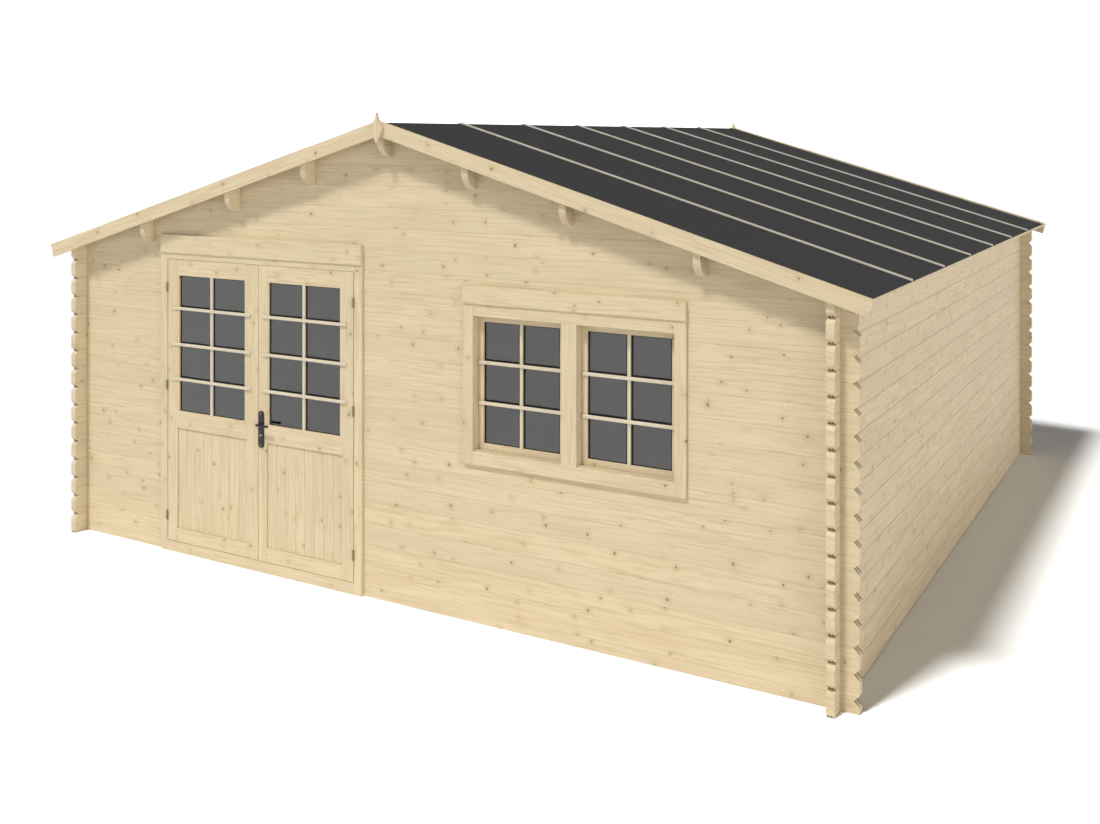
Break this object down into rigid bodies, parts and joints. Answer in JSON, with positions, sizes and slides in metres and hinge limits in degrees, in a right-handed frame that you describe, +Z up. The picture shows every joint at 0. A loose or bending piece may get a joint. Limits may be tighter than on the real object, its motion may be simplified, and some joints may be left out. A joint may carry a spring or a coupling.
{
  "type": "log cabin",
  "caption": "Timber log cabin with a felted gable roof, a part-glazed double door that swings outwards, and a twin window with glazing bars.",
  "frame": {"origin": "centre of the building's footprint at ground level", "axes": "+Z up, +X along the front wall to the right as seen from outside, -Y towards the front"},
  "size_m": [6.19, 6.096, 3.0979],
  "materials": {
    "planed_spruce": "planed untreated spruce",
    "roofing_felt": "mineral roofing felt",
    "window_glass": "clear float glass",
    "hinge_steel": "yellow zinc plated steel",
    "handle_metal": "dark grey painted metal"
  },
  "bodies": {
    "cabin": {"door_casing": "planed_spruce", "door_frame": "planed_spruce", "door_head_casing": "planed_spruce", "door_header_board": "planed_spruce", "door_hinge_pins": "hinge_steel", "door_sill": "planed_spruce", "floor_boards": "planed_spruce", "floor_joists": "planed_spruce", "front_left_bargeboard": "planed_spruce", "front_right_bargeboard": "planed_spruce", "front_wall_even_logs": "planed_spruce", "front_wall_odd_logs": "planed_spruce", "left_felt_battens": "planed_spruce", "left_purlins": "planed_spruce", "left_roof_boards": "planed_spruce", "left_roof_felt": "roofing_felt", "left_wall_even_logs": "planed_spruce", "left_wall_odd_logs": "planed_spruce", "rear_left_bargeboard": "planed_spruce", "rear_right_bargeboard": "planed_spruce", "rear_wall_even_logs": "planed_spruce", "rear_wall_odd_logs": "planed_spruce", "ridge_finials": "planed_spruce", "ridge_purlin": "planed_spruce", "right_felt_battens": "planed_spruce", "right_purlins": "planed_spruce", "right_roof_boards": "planed_spruce", "right_roof_felt": "roofing_felt", "right_wall_even_logs": "planed_spruce", "right_wall_odd_logs": "planed_spruce", "window_casing": "planed_spruce", "window_frame": "planed_spruce", "window_glass": "window_glass", "window_header_board": "planed_spruce", "window_sashes": "planed_spruce"},
    "left_door_leaf": {"left_door_frame": "planed_spruce", "left_door_glass": "window_glass", "left_door_hinge_leaves": "hinge_steel", "left_door_panel": "planed_spruce"},
    "right_door_leaf": {"right_door_frame": "planed_spruce", "right_door_glass": "window_glass", "right_door_hinge_leaves": "hinge_steel", "right_door_panel": "planed_spruce", "door_handle_plates": "handle_metal"},
    "door_handle": {"door_lever": "handle_metal"}
  },
  "joints": [
    {"name": "left_door_hinge", "type": "hinge", "parent": "cabin", "child": "left_door_leaf", "pos_m": [-1.9615, -2.9375, 1], "axis": [0, 0, -1], "range_deg": [0, 100]},
    {"name": "right_door_hinge", "type": "hinge", "parent": "cabin", "child": "right_door_leaf", "pos_m": [-0.2735, -2.9375, 1], "axis": [0, 0, 1], "range_deg": [0, 100]},
    {"name": "handle_turn", "type": "hinge", "parent": "right_door_leaf", "child": "door_handle", "pos_m": [-1.066, -2.93, 1.005], "axis": [0, 1, 0], "range_deg": [0, 40], "stiffness_Nm_per_rad": 1.2, "springref_deg": -11.46}
  ]
}
